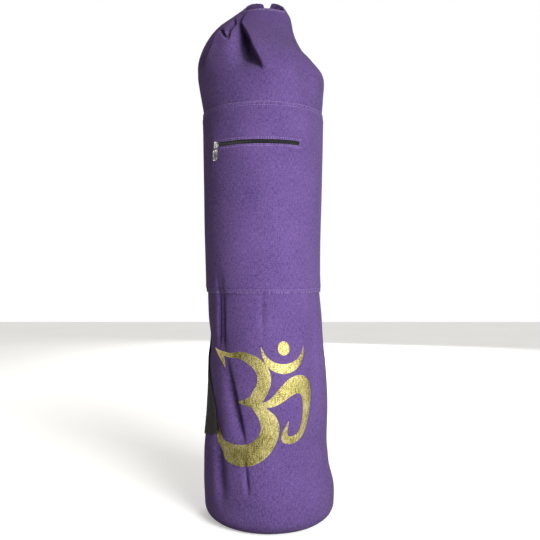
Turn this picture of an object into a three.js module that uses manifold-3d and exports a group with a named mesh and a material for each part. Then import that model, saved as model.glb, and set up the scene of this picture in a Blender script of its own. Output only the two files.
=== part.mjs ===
import * as THREE from 'three';
import { mergeVertices } from 'three/addons/utils/BufferGeometryUtils.js';
import Module from 'manifold-3d';

// Yoga mat bag: a tall canvas tube with a round base, a gathered neck, a zip pocket on the front
// and a webbing shoulder strap behind. Millimetres, +Z up, the front faces -Y, the origin is the
// middle of the base. An angle is measured from the front, positive towards +X.

const wasm = await Module();
wasm.setup();

// Bag
const bagHeight = 712;
const bagRadius = 84;
const wallThickness = 2;
const cornerRadius = 18;
const cornerSteps = 4;
const columnCount = 50;
const frontCrowding = 0.5;
const bodyRowCount = 12;
const shoulderRowCount = 2;
const neckRowCount = 12;
const neckFoot = 591;
const seamGap = 0.3;

// Folds: how fast they open and fade along their length, and how far round the sides they reach
const foldOpening = 0.35;
const foldFadeStart = 0.55;
const foldFadePast = 3;
const sideFade = 0.3;
const gathersOpenAt = 0.95;
const gatherFloor = 0.4;
const leastRadiusShare = 0.45;

// Inner face of the cloth: how its slope is measured and the most it may thicken the wall
const slopeStep = 2;
const slopeTurn = 2;
const mostStretch = 1.8;

// Front pocket
const pocketBottom = 305;
const pocketTop = 547;
const pocketHalfAngle = 104;
const pocketCloth = 1.2;
const pocketHemWidth = 9;
const pocketPuff = 1;
const pocketRowCount = 3;
const pocketLiftTurn = 5;
const pocketSideFade = 12;
const layerGap = 0.3;

// Zip
const zipHeight = 496;
const zipSlotHalfHeight = 2.8;
const zipLeftAngle = -48;
const zipRightAngle = 33.5;
const tapeThickness = 0.6;
const tapeWidth = 12;
const tapeOverrun = 5;
const tapeInnerEdge = 0.8;
const tapeUnderHem = 3;
const coilThickness = 1.2;
const coilWidth = 2.2;
const coilPitch = 5;
const toothReach = 0.9;
const coilStart = 0.4;
const coilEnd = 0.6;

// A tooth's corners as shares of the pitch, and the length that it needs
const toothCorners = [0.06, 0.11, 0.39, 0.44];
const toothSpan = 0.51;

// Slider and pull
const sliderAngle = -44.5;
const sliderLength = 9;
const sliderWidth = 8;
const sliderPlate = 0.8;
const sliderLift = 0.4;
const sliderOverlap = 0.1;
const postWidth = 3;
const postLength = 2;
const postInset = 0.6;
const postTrim = 0.2;
const bailWidth = 1.4;
const bailSpan = 7.6;
const bailBar = 0.9;
const bailTrim = 0.3;
const pullThickness = 1.2;
const pullLength = 21;
const pullWidth = 8;
const pullCornerCut = 1.4;
const pullEyeWidth = 2.4;
const pullEyeLength = 4.6;
const pullBorder = 0.9;
const pullRecess = 0.3;
const pullHole = 1.1;

// Shoulder strap
const strapWidth = 38;
const strapThickness = 2;
const strapSteps = 26;
const strapSeat = 1.4;
const strapLook = 0.1;
const strapBridging = [-8, -4, 0, 4, 8];

const cloth = new THREE.MeshStandardMaterial({ color: 0x7a5ea4, roughness: 0.9, metalness: 0 });
const blackTape = new THREE.MeshStandardMaterial({ color: 0x202024, roughness: 0.8, metalness: 0 });
const coilPlastic = new THREE.MeshStandardMaterial({ color: 0x18181b, roughness: 0.4, metalness: 0 });
const nickel = new THREE.MeshStandardMaterial({ color: 0xc8c8c6, roughness: 0.3, metalness: 1 });
const webbing = new THREE.MeshStandardMaterial({ color: 0x1f1b20, roughness: 0.85, metalness: 0 });

function table(columns, rows) {
  return rows.map((row) => Object.fromEntries(columns.map((name, i) => [name, row[i]])));
}

// Cross-sections: height is a share of bagHeight, the four reaches from the axis of bagRadius.
const sections = table(['height', 'left', 'right', 'front', 'back'], [
  [0.000, 1.060, 1.040, 1.030, 1.030],
  [0.025, 1.070, 1.050, 1.040, 1.030],
  [0.060, 1.083, 1.043, 1.040, 1.030],
  [0.100, 1.083, 0.961, 1.020, 1.000],
  [0.138, 1.076, 0.929, 1.000, 0.990],
  [0.216, 1.010, 0.944, 1.000, 0.980],
  [0.295, 0.985, 0.911, 0.985, 0.965],
  [0.334, 0.962, 0.877, 0.970, 0.950],
  [0.381, 1.000, 0.850, 0.960, 0.945],
  [0.466, 1.030, 0.800, 0.955, 0.945],
  [0.646, 1.063, 0.823, 0.965, 0.955],
  [0.763, 1.083, 0.854, 0.975, 0.970],
  [0.802, 1.126, 0.880, 0.985, 0.980],
  [0.841, 1.176, 0.885, 0.970, 0.990],
  [0.872, 1.200, 0.725, 0.880, 0.970],
  [0.896, 1.165, 0.570, 0.750, 0.880],
  [0.920, 1.090, 0.470, 0.640, 0.700],
  [0.945, 0.975, 0.400, 0.540, 0.480],
  [0.967, 0.830, 0.365, 0.460, 0.340],
  [0.985, 0.630, 0.330, 0.430, 0.260],
  [1.000, 0.440, 0.260, 0.420, 0.220],
]);

// Folds seen on the front: x, depth and widths are shares of bagRadius, heights of bagHeight.
// A fold runs from its foot to its head; widths are the reach of its left and right flanks,
// and headDepth is the share of the depth that is left at its head.
const frontFolds = table(
  ['footX', 'footHeight', 'headX', 'headHeight', 'depth', 'leftWidth', 'rightWidth', 'headDepth'],
  [
    [-0.16, 0.838, -0.43, 0.962, 0.27, 0.20, 0.10, 0.60],
    [0.52, 0.795, 0.39, 0.925, 0.08, 0.07, 0.15, 0.40],
    [-0.74, 0.885, -0.66, 0.955, 0.07, 0.09, 0.08, 0.60],
    [-0.78, 0.327, -0.77, 0.431, 0.05, 0.10, 0.08, 0.50],
    [-0.37, 0.164, -0.68, 0.297, 0.07, 0.14, 0.12, 0.10],
    [-0.68, 0.035, -0.82, 0.213, 0.12, 0.10, 0.12, 0.30],
    [0.72, 0.130, 0.70, 0.416, 0.03, 0.10, 0.12, 0.20],
  ],
);

// Round hollows in the cloth of the shoulders: x, depth and width as shares of bagRadius, height
// and tall of bagHeight.
const hollows = table(['x', 'height', 'depth', 'width', 'tall'], [
  [-0.47, 0.868, 0.085, 0.19, 0.030],
  [0.60, 0.838, 0.060, 0.12, 0.028],
]);

// Gathers round the sides and back of the neck, by angle; they fade out at their foot.
const neckGathers = table(['angle', 'footHeight', 'depth', 'width'], [
  [-82, 0.840, 0.09, 8],
  [-106, 0.845, 0.10, 9],
  [-128, 0.815, 0.12, 10],
  [-152, 0.830, 0.10, 9],
  [171, 0.800, 0.15, 11],
  [146, 0.835, 0.09, 9],
  [121, 0.810, 0.12, 10],
  [97, 0.835, 0.09, 9],
]);

// Rim: how far below bagHeight it lies, as shares of bagHeight.
const rimDips = table(['angle', 'width', 'drop'], [
  [0, 112, 0.040],
  [171, 11, 0.018],
]);
const rimStart = 0.88;

// Strap, from its sewn foot at the left side to its sewn head behind the neck: the height is a
// share of bagHeight and the stand-off from the cloth a share of bagRadius.
const strapRoute = table(['angle', 'height', 'standOff'], [
  [-63, 0.166, 0.000],
  [-67, 0.200, 0.000],
  [-79, 0.245, 0.000],
  [-98, 0.290, 0.004],
  [-118, 0.350, 0.040],
  [-132, 0.440, 0.150],
  [-144, 0.570, 0.260],
  [-150, 0.680, 0.240],
  [-152, 0.780, 0.110],
  [-152, 0.850, 0.025],
  [-152, 0.895, 0.000],
  [-152, 0.925, 0.000],
]);

const radians = THREE.MathUtils.degToRad;

function smooth(t) {
  const s = Math.min(1, Math.max(0, t));
  return s * s * (3 - 2 * s);
}

// A smooth curve through the rows of a table, read at one key.
function along(rows, key, at, name) {
  let i = 0;
  while (i < rows.length - 2 && rows[i + 1][key] < at) i += 1;
  const [a, b] = [rows[i], rows[i + 1]];
  const before = rows[Math.max(0, i - 1)];
  const after = rows[Math.min(rows.length - 1, i + 2)];
  const span = b[key] - a[key];
  const t = Math.min(1, Math.max(0, (at - a[key]) / span));
  const slopeA = ((b[name] - before[name]) / (b[key] - before[key])) * span;
  const slopeB = ((after[name] - a[name]) / (after[key] - a[key])) * span;
  const t2 = t * t;
  const t3 = t2 * t;
  return (
    (2 * t3 - 3 * t2 + 1) * a[name] +
    (t3 - 2 * t2 + t) * slopeA +
    (3 * t2 - 2 * t3) * b[name] +
    (t3 - t2) * slopeB
  );
}

function section(height) {
  const share = height / bagHeight;
  const reach = (name) => along(sections, 'height', share, name) * bagRadius;
  const [left, right, front, back] = ['left', 'right', 'front', 'back'].map(reach);
  return {
    centreX: (right - left) / 2,
    centreY: (back - front) / 2,
    halfWidth: (left + right) / 2,
    halfDepth: (front + back) / 2,
  };
}

function foldDepth(fold, x, height) {
  const t = (height / bagHeight - fold.footHeight) / (fold.headHeight - fold.footHeight);
  if (t <= 0) return 0;
  const centre = (fold.footX + (fold.headX - fold.footX) * Math.min(t, 1)) * bagRadius;
  const width = (x < centre ? fold.leftWidth : fold.rightWidth) * bagRadius;
  const past = Math.max(0, t - 1);
  const fading = (1 - fold.headDepth) * smooth((t - foldFadeStart) / (1 - foldFadeStart));
  const lengthwise = smooth(t / foldOpening) * (1 - fading) * smooth(1 - past * foldFadePast);
  const across = Math.exp(-(((x - centre) / width) ** 2));
  return fold.depth * bagRadius * lengthwise * across;
}

function turnBetween(a, b) {
  return ((a - b + 540) % 360) - 180;
}

// Outer radius of the cloth, from the centre of its section.
function clothRadius(angle, height) {
  const cut = section(height);
  const [s, c] = [Math.sin(radians(angle)), Math.cos(radians(angle))];
  const plain = (cut.halfWidth * cut.halfDepth) / Math.hypot(cut.halfDepth * s, cut.halfWidth * c);
  const x = cut.centreX + plain * s;
  let fold = 0;
  if (c > 0) {
    const facing = smooth(c / sideFade);
    for (const row of frontFolds) fold += foldDepth(row, x, height) * facing;
    for (const row of hollows) {
      const sideways = (x / bagRadius - row.x) / row.width;
      const upright = (height / bagHeight - row.height) / row.tall;
      fold += row.depth * bagRadius * facing * Math.exp(-(sideways ** 2) - upright ** 2);
    }
  }
  for (const row of neckGathers) {
    const open = smooth((height / bagHeight - row.footHeight) / (gathersOpenAt - row.footHeight));
    const narrow = gatherFloor + (1 - gatherFloor) * (plain / bagRadius);
    const off = turnBetween(angle, row.angle) / row.width;
    fold += row.depth * bagRadius * open * narrow * Math.exp(-(off ** 2));
  }
  return Math.max(plain - fold, plain * leastRadiusShare);
}

function rimHeight(angle, height) {
  const drop = rimDips.reduce(
    (sum, row) => sum + row.drop * Math.exp(-((turnBetween(angle, row.angle) / row.width) ** 4)),
    0,
  );
  const share = smooth((height / bagHeight - rimStart) / (1 - rimStart));
  return height - drop * bagHeight * share;
}

// Columns of the cloth's mesh, closer together on the front, with the pocket's own edges in them.
function columnAngles() {
  const angles = [];
  for (let i = 0; i < columnCount; i += 1) {
    const turn = ((i + 0.5) / columnCount) * 2 * Math.PI - Math.PI;
    angles.push(THREE.MathUtils.radToDeg(turn - frontCrowding * Math.sin(turn)));
  }
  for (const edge of [-pocketHalfAngle, zipLeftAngle, zipRightAngle, pocketHalfAngle]) {
    let nearest = 0;
    angles.forEach((angle, i) => {
      if (Math.abs(angle - edge) < Math.abs(angles[nearest] - edge)) nearest = i;
    });
    angles[nearest] = edge;
  }
  return angles;
}
const columns = columnAngles();

// Rows of the cloth's mesh. The pocket takes the rows between its own edges.
function spread(from, to, count) {
  return Array.from({ length: count }, (_, i) => from + ((to - from) * i) / count);
}
const slotBottom = zipHeight - zipSlotHalfHeight;
const slotTop = zipHeight + zipSlotHalfHeight;
const pocketRows = [
  pocketBottom,
  pocketBottom + pocketHemWidth,
  ...spread(pocketBottom + pocketHemWidth, slotBottom - tapeWidth, pocketRowCount).slice(1),
  slotBottom - tapeWidth,
  slotBottom,
  slotTop,
  slotTop + tapeWidth,
  pocketTop - pocketHemWidth,
  pocketTop,
];
const wallRows = [
  ...spread(cornerRadius, pocketBottom, bodyRowCount),
  ...pocketRows,
  ...spread(pocketTop, neckFoot, shoulderRowCount).slice(1),
  ...spread(neckFoot, bagHeight, neckRowCount),
  bagHeight,
];

function facetRadius(angle, height) {
  const find = (list, value) => {
    let i = 0;
    while (i < list.length - 2 && list[i + 1] <= value) i += 1;
    return [i, (value - list[i]) / (list[i + 1] - list[i])];
  };
  const [i, u] = find(columns, angle);
  const [j, v] = find(wallRows, height);
  const at = (a, b) => clothRadius(columns[a], wallRows[b]);
  const low = at(i, j) * (1 - u) + at(i + 1, j) * u;
  const high = at(i, j + 1) * (1 - u) + at(i + 1, j + 1) * u;
  return low * (1 - v) + high * v;
}

function placed(angle, radius, height, level = height) {
  const cut = section(height);
  const a = radians(angle);
  return [cut.centreX + radius * Math.sin(a), cut.centreY - radius * Math.cos(a), level];
}

function toGeometry(points, faces) {
  const geometry = new THREE.BufferGeometry();
  geometry.setAttribute('position', new THREE.Float32BufferAttribute(points.flat(), 3));
  geometry.setIndex(faces.flat());
  return geometry;
}

function named(name, geometry, material) {
  const mesh = new THREE.Mesh(geometry, material);
  mesh.name = name;
  return mesh;
}

// A tube of rings, each a list of points, closed lengthwise as well when loop is true.
function ringSkin(rings, loop) {
  const count = rings[0].length;
  const faces = [];
  const pairs = loop ? rings.length : rings.length - 1;
  for (let k = 0; k < pairs; k += 1) {
    const next = (k + 1) % rings.length;
    for (let i = 0; i < count; i += 1) {
      const j = (i + 1) % count;
      const [a, b, c, d] = [k * count + i, k * count + j, next * count + j, next * count + i];
      faces.push([a, b, c], [a, c, d]);
    }
  }
  return { points: rings.flat(), faces };
}

function bodyWall() {
  const outer = [];
  const inner = [];
  for (let k = 0; k < cornerSteps; k += 1) {
    const turn = ((k / cornerSteps) * Math.PI) / 2;
    const corner = (radius) => [radius * (1 - Math.sin(turn)), radius * (1 - Math.cos(turn))];
    const [outIn, outUp] = corner(cornerRadius);
    const [inIn, inUp] = corner(cornerRadius - wallThickness);
    const turned = (angle, inset, level) =>
      placed(angle, clothRadius(angle, cornerRadius) - inset, cornerRadius, level);
    outer.push(columns.map((a) => turned(a, outIn, outUp)));
    inner.push(columns.map((a) => turned(a, wallThickness + inIn, wallThickness + inUp)));
  }
  for (const height of wallRows) {
    outer.push(columns.map((a) => placed(a, clothRadius(a, height), height, rimHeight(a, height))));
    inner.push(columns.map((a) => placed(a, innerRadius(a, height), height, rimHeight(a, height))));
  }
  const skin = ringSkin([...outer, ...inner.reverse()], true);
  return toGeometry(skin.points, skin.faces);
}

// The inner face lies a wall's thickness in, measured square to the slope of the cloth.
function innerRadius(angle, height) {
  const radius = clothRadius(angle, height);
  const change = (turn, rise) =>
    clothRadius(angle + turn, height + rise) - clothRadius(angle - turn, height - rise);
  const up = change(0, slopeStep) / (2 * slopeStep);
  const round = change(slopeTurn, 0) / radians(2 * slopeTurn) / radius;
  const stretch = Math.min(mostStretch, Math.hypot(1, up, round));
  return radius - wallThickness * stretch;
}

function basePanel() {
  const edge = (a) => clothRadius(a, cornerRadius) - cornerRadius - seamGap;
  const ring = (level) => columns.map((a) => placed(a, edge(a), cornerRadius, level));
  const cut = section(cornerRadius);
  const count = columns.length;
  const points = [...ring(0), ...ring(wallThickness)];
  points.push([cut.centreX, cut.centreY, 0], [cut.centreX, cut.centreY, wallThickness]);
  const faces = [];
  for (let i = 0; i < count; i += 1) {
    const j = (i + 1) % count;
    faces.push([i, j, count + j], [i, count + j, count + i]);
    faces.push([2 * count, j, i], [2 * count + 1, count + i, count + j]);
  }
  return toGeometry(points, faces);
}

// How far the pocket's cloth lies off the bag: flat at its hems, lifted over the zip.
const tapeInside = sliderLift + sliderPlate + layerGap;
const zipLift = tapeInside + tapeThickness + layerGap;
function pocketLift(angle, height) {
  const fromEnd = Math.min(height - pocketBottom, pocketTop - height);
  const fromSide = radians(pocketHalfAngle - Math.abs(angle)) * bagRadius;
  const inside = smooth(Math.min(fromEnd, fromSide) / pocketHemWidth);
  const fromZip = Math.max(0, Math.abs(height - zipHeight) - zipSlotHalfHeight - tapeWidth);
  const beside = Math.max(angle - zipRightAngle, zipLeftAngle - angle) - pocketLiftTurn;
  const nearZip = smooth(1 - fromZip / tapeWidth) * smooth(1 - beside / pocketSideFade);
  const plain = layerGap + pocketPuff * inside;
  return plain + (zipLift - plain) * nearZip;
}

function pocketPanel() {
  const across = columns.filter((a) => Math.abs(a) <= pocketHalfAngle + 0.001);
  const [rows, cols] = [pocketRows.length, across.length];
  const points = [];
  for (const extra of [pocketCloth, 0]) {
    for (const height of pocketRows) {
      for (const a of across) {
        points.push(placed(a, clothRadius(a, height) + pocketLift(a, height) + extra, height));
      }
    }
  }
  const index = (face, j, i) => face * rows * cols + j * cols + i;
  const kept = (j, i) => {
    if (j < 0 || i < 0 || j >= rows - 1 || i >= cols - 1) return false;
    const slotColumn = across[i] >= zipLeftAngle && across[i + 1] <= zipRightAngle;
    return !(slotColumn && pocketRows[j] === slotBottom);
  };
  const faces = [];
  const quad = (a, b, c, d) => faces.push([a, b, c], [a, c, d]);
  const wallBetween = (j0, i0, j1, i1) =>
    quad(index(1, j0, i0), index(1, j1, i1), index(0, j1, i1), index(0, j0, i0));
  for (let j = 0; j < rows - 1; j += 1) {
    for (let i = 0; i < cols - 1; i += 1) {
      if (!kept(j, i)) continue;
      quad(index(0, j, i), index(0, j, i + 1), index(0, j + 1, i + 1), index(0, j + 1, i));
      quad(index(1, j, i), index(1, j + 1, i), index(1, j + 1, i + 1), index(1, j, i + 1));
      if (!kept(j - 1, i)) wallBetween(j, i, j, i + 1);
      if (!kept(j + 1, i)) wallBetween(j + 1, i + 1, j + 1, i);
      if (!kept(j, i - 1)) wallBetween(j + 1, i, j, i);
      if (!kept(j, i + 1)) wallBetween(j, i + 1, j + 1, i + 1);
    }
  }
  return toGeometry(points, faces);
}

// A strip laid round the bag. Each station gives its angle, its lower and upper edge as heights,
// and the two faces as distances from the cloth.
function strip(stations) {
  const points = [];
  const faces = [];
  for (const { angle, low, high, inside, outside } of stations) {
    for (const [height, off] of [[low, outside], [high, outside], [high, inside], [low, inside]]) {
      points.push(placed(angle, facetRadius(angle, height) + off, height));
    }
  }
  const last = stations.length - 1;
  for (let k = 0; k < last; k += 1) {
    for (let i = 0; i < 4; i += 1) {
      const j = (i + 1) % 4;
      const [a, b, c, d] = [k * 4 + i, (k + 1) * 4 + i, (k + 1) * 4 + j, k * 4 + j];
      faces.push([a, b, c], [a, c, d]);
    }
  }
  faces.push([0, 1, 2], [0, 2, 3]);
  faces.push([last * 4, last * 4 + 2, last * 4 + 1], [last * 4, last * 4 + 3, last * 4 + 2]);
  return toGeometry(points, faces);
}

function zipTape(side) {
  const overrunAngle = THREE.MathUtils.radToDeg(tapeOverrun / bagRadius);
  const [from, to] = [zipLeftAngle - overrunAngle, zipRightAngle + overrunAngle];
  const inner = columns.filter((a) => a > from + 1 && a < to - 1);
  const stations = [from, ...inner, to].map((angle) => {
    const parted = angle < sliderAngle ? postWidth / 2 + layerGap : tapeInnerEdge;
    const near = zipHeight + side * parted;
    const far = zipHeight + side * (zipSlotHalfHeight + tapeWidth - tapeUnderHem);
    return {
      angle,
      low: Math.min(near, far),
      high: Math.max(near, far),
      inside: tapeInside,
      outside: tapeInside + tapeThickness,
    };
  });
  return strip(stations);
}

// A comb of teeth along the tape's edge, which meshes with the other tape's comb.
function zipCoil(side) {
  const from = sliderAngle + coilStart;
  const to = zipRightAngle - coilEnd;
  const pitch = THREE.MathUtils.radToDeg(coilPitch / bagRadius);
  const count = Math.floor((to - from) / pitch);
  const gapHalf = layerGap / 2;
  const back = toothReach / 2 + gapHalf;
  const stations = [];
  const station = (angle, reach) => {
    const near = zipHeight + side * (back - reach);
    const far = zipHeight + side * (back + coilWidth - toothReach);
    stations.push({
      angle,
      low: Math.min(near, far),
      high: Math.max(near, far),
      inside: zipLift,
      outside: zipLift + coilThickness,
    });
  };
  const shift = side > 0 ? 0 : pitch / 2;
  station(from, 0);
  for (let k = 0; k < count; k += 1) {
    const start = from + k * pitch + shift;
    if (start + pitch * toothSpan > to) break;
    const [foot, tip, tipEnd, footEnd] = toothCorners.map((share) => start + pitch * share);
    station(foot, 0);
    station(tip, toothReach);
    station(tipEnd, toothReach);
    station(footEnd, 0);
  }
  station(to, 0);
  return strip(stations);
}

function toSolid(geometry) {
  const bare = geometry.clone();
  bare.deleteAttribute('normal');
  bare.deleteAttribute('uv');
  const merged = mergeVertices(bare, 1e-4);
  const vertProperties = Float32Array.from(merged.attributes.position.array);
  const triVerts = Uint32Array.from(merged.index.array);
  return new wasm.Manifold(new wasm.Mesh({ numProp: 3, vertProperties, triVerts }));
}

function fromSolid(solid) {
  const mesh = solid.getMesh();
  const geometry = new THREE.BufferGeometry();
  geometry.setAttribute('position', new THREE.Float32BufferAttribute(mesh.vertProperties, 3));
  geometry.setIndex([...mesh.triVerts]);
  return geometry;
}

// A box between two corners, in the slider's own frame: x along the zip, y inwards, z up.
function block([x0, y0, z0], [x1, y1, z1]) {
  const geometry = new THREE.BoxGeometry(x1 - x0, y1 - y0, z1 - z0);
  return toSolid(geometry.translate((x0 + x1) / 2, (y0 + y1) / 2, (z0 + z1) / 2));
}

const topPlateInside = zipLift + coilThickness + 2 * layerGap;
const topPlateOutside = topPlateInside + sliderPlate;
const barInside = topPlateOutside + pullThickness + 2 * layerGap;
const pullAxisOff = (topPlateOutside + barInside) / 2;

function plateOutline(halfLength, halfWidth, cornerCut) {
  const shape = new THREE.Shape();
  shape.moveTo(-halfLength + cornerCut, -halfWidth);
  shape.lineTo(halfLength - cornerCut, -halfWidth);
  shape.lineTo(halfLength, -halfWidth + cornerCut);
  shape.lineTo(halfLength, halfWidth - cornerCut);
  shape.lineTo(halfLength - cornerCut, halfWidth);
  shape.lineTo(-halfLength + cornerCut, halfWidth);
  shape.lineTo(-halfLength, halfWidth - cornerCut);
  shape.lineTo(-halfLength, -halfWidth + cornerCut);
  return shape;
}

// A flat shape drawn on the cloth's plane, as thick as from one distance off the cloth to another.
function sheetSolid(shape, inside, outside) {
  const geometry = new THREE.ExtrudeGeometry(shape, { depth: outside - inside, bevelEnabled: false });
  return toSolid(geometry.rotateX(Math.PI / 2).translate(0, -inside, 0));
}

function zipSlider() {
  const half = sliderLength / 2;
  const outline = plateOutline(half, sliderWidth / 2, sliderWidth / 5);
  const postHalf = postWidth / 2 - postTrim;
  const post = block([-half + postInset, -topPlateInside - sliderOverlap, -postHalf], [
    -half + postInset + postLength,
    -sliderLift - sliderPlate + sliderOverlap,
    postHalf,
  ]);
  const bail = block([-bailWidth / 2, -barInside - bailBar, -bailSpan / 2], [
    bailWidth / 2,
    -topPlateOutside + sliderOverlap,
    bailSpan / 2,
  ]);
  const legs = bailSpan / 2 - bailBar - bailTrim;
  const under = block([-bailWidth, -barInside, -legs], [bailWidth, -topPlateOutside, legs]);
  return fromSolid(
    sheetSolid(outline, sliderLift, sliderLift + sliderPlate)
      .add(sheetSolid(outline, topPlateInside, topPlateOutside))
      .add(post)
      .add(bail.subtract(under)),
  );
}

// The pull hangs from its top bar, which lies under the slider's bail.
function zipPull() {
  const bar = pullThickness / 2;
  const half = pullWidth / 2;
  const eyeHalf = pullEyeWidth / 2;
  const eyeOuter = eyeHalf + pullThickness;
  const eyeFoot = -bar - pullEyeLength;
  const foot = bar - pullLength;
  const outline = new THREE.Shape();
  outline.moveTo(-eyeOuter, bar);
  outline.lineTo(-eyeOuter, eyeFoot);
  outline.lineTo(-half, eyeFoot - pullBorder);
  outline.lineTo(-half, foot + pullCornerCut);
  outline.lineTo(-half + pullCornerCut, foot);
  outline.lineTo(half - pullCornerCut, foot);
  outline.lineTo(half, foot + pullCornerCut);
  outline.lineTo(half, eyeFoot - pullBorder);
  outline.lineTo(eyeOuter, eyeFoot);
  outline.lineTo(eyeOuter, bar);
  const holeFoot = foot + pullBorder * 2;
  const holeTop = holeFoot + pullHole * 2;
  const recessTop = eyeFoot - 2 * pullBorder;
  const recessFoot = holeTop + pullBorder;
  const middle = plateOutline(half - pullBorder, (recessTop - recessFoot) / 2, pullBorder / 2);
  const recess = (inside, outside) =>
    sheetSolid(middle, inside, outside).translate([0, 0, (recessTop + recessFoot) / 2]);
  return fromSolid(
    sheetSolid(outline, -bar, bar)
      .subtract(block([-eyeHalf, -half, eyeFoot], [eyeHalf, half, -bar]))
      .subtract(block([-pullHole, -half, holeFoot], [pullHole, half, holeTop]))
      .subtract(recess(bar - pullRecess, half))
      .subtract(recess(-half, -bar + pullRecess)),
  );
}

function onSlider(mesh, off) {
  const [x, y] = placed(sliderAngle, facetRadius(sliderAngle, zipHeight) + off, zipHeight);
  mesh.position.set(x, y, zipHeight);
  mesh.rotation.z = radians(sliderAngle);
  return mesh;
}

// The strap is stiff enough to bridge a gather, so it rides on the highest cloth near it.
function bridgedRadius(angle, height) {
  const nearby = strapBridging.map((turn) => clothRadius(angle + turn, height));
  return Math.max(...nearby);
}

// The strap's middle line and its two edges each keep their distance from the cloth.
function shoulderStrap() {
  const rows = strapRoute.map((row, step) => ({ ...row, step }));
  const at = (step, name) => along(rows, 'step', step, name);
  const last = rows.length - 1;
  const rings = [];
  for (let k = 0; k <= strapSteps; k += 1) {
    const step = (last * k) / strapSteps;
    const change = (name) =>
      at(Math.min(last, step + strapLook), name) - at(Math.max(0, step - strapLook), name);
    const lean = Math.atan2(radians(change('angle')) * bagRadius, change('height') * bagHeight);
    const ring = [];
    const edge = (side, off) => {
      const across = (side * strapWidth) / 2;
      const angle = at(step, 'angle') + THREE.MathUtils.radToDeg((across * Math.cos(lean)) / bagRadius);
      const height = at(step, 'height') * bagHeight - across * Math.sin(lean);
      const clear = Math.max(0, at(step, 'standOff')) * bagRadius + strapSeat;
      return placed(angle, bridgedRadius(angle, height) + clear + off, height);
    };
    for (const side of [-1, 0, 1]) ring.push(edge(side, strapThickness));
    for (const side of [1, 0, -1]) ring.push(edge(side, 0));
    rings.push(ring);
  }
  const skin = ringSkin(rings, false);
  const count = rings[0].length;
  const end = (rings.length - 1) * count;
  for (let i = 0; i < count / 2 - 1; i += 1) {
    const [a, b, c, d] = [i, i + 1, count - 2 - i, count - 1 - i];
    skin.faces.push([a, c, b], [a, d, c]);
    skin.faces.push([end + a, end + b, end + c], [end + a, end + c, end + d]);
  }
  return toGeometry(skin.points, skin.faces);
}

const bag = new THREE.Group();
bag.add(
  named('body_wall', bodyWall(), cloth),
  named('base_panel', basePanel(), cloth),
  named('pocket_panel', pocketPanel(), cloth),
  named('zip_tape_upper', zipTape(1), blackTape),
  named('zip_tape_lower', zipTape(-1), blackTape),
  named('zip_coil_upper', zipCoil(1), coilPlastic),
  named('zip_coil_lower', zipCoil(-1), coilPlastic),
  onSlider(named('zip_slider', zipSlider(), nickel), 0),
  onSlider(named('zip_pull', zipPull(), nickel), pullAxisOff),
  named('shoulder_strap', shoulderStrap(), webbing),
);

export default bag;
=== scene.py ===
import math

import bmesh
import bpy
import numpy as np
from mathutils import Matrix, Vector


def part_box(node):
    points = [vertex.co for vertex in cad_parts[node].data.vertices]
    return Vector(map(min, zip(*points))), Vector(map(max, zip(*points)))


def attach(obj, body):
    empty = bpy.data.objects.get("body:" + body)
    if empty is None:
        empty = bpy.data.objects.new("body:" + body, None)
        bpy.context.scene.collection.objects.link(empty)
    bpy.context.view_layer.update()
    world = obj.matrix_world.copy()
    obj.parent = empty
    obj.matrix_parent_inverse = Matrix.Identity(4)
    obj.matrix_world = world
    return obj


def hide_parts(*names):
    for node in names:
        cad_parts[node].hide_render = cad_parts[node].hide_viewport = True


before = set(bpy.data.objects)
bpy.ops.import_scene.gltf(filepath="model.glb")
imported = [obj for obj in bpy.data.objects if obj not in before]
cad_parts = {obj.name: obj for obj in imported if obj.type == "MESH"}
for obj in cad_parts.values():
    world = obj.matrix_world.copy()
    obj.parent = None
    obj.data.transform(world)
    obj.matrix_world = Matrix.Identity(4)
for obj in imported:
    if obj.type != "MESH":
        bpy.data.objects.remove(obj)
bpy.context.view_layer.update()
print("frame loaded")

mm = 0.001

# The sewn cloth, in metres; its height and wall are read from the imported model.
bag = {
    "height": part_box("body_wall")[1][2],
    "radius": 84 * mm,
    "wall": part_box("base_panel")[1][2],
    "corner": 18 * mm,
    "seamGap": 0.3 * mm,
    "columns": 320,
    "frontCrowding": 0.35,
    "cornerRows": 8,
    "bodyRows": 124,
    "neckRows": 92,
    "neckShare": 0.83,
    "insideRows": 40,
    "rimRows": 4,
    "rowsCleared": 7,
    "insideCrowding": 0.6,
}


def table(columns, rows):
    data = np.array(rows, float)
    return {name: data[:, i] for i, name in enumerate(columns)}


# Reaches of each section from the axis, as shares of the radius; heights as shares of the height.
sections = table(("height", "left", "right", "front", "back"), [
    (0, 1.06, 1.04, 1.03, 1.03),
    (0.025, 1.07, 1.05, 1.04, 1.03),
    (0.06, 1.083, 1.043, 1.04, 1.03),
    (0.1, 1.083, 0.961, 1.02, 1),
    (0.138, 1.076, 0.929, 1, 0.99),
    (0.216, 1.01, 0.944, 1, 0.98),
    (0.295, 0.985, 0.911, 0.985, 0.965),
    (0.334, 0.962, 0.877, 0.97, 0.95),
    (0.381, 1, 0.85, 0.96, 0.945),
    (0.466, 1.03, 0.8, 0.955, 0.945),
    (0.646, 1.063, 0.823, 0.965, 0.955),
    (0.763, 1.083, 0.854, 0.975, 0.97),
    (0.802, 1.126, 0.88, 0.985, 0.98),
    (0.841, 1.176, 0.885, 0.97, 0.99),
    (0.872, 1.2, 0.725, 0.88, 0.97),
    (0.896, 1.165, 0.57, 0.75, 0.88),
    (0.92, 1.09, 0.47, 0.64, 0.7),
    (0.945, 0.975, 0.4, 0.54, 0.48),
    (0.967, 0.83, 0.365, 0.46, 0.34),
    (0.985, 0.63, 0.33, 0.43, 0.26),
    (1, 0.44, 0.26, 0.42, 0.22),
])

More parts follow.
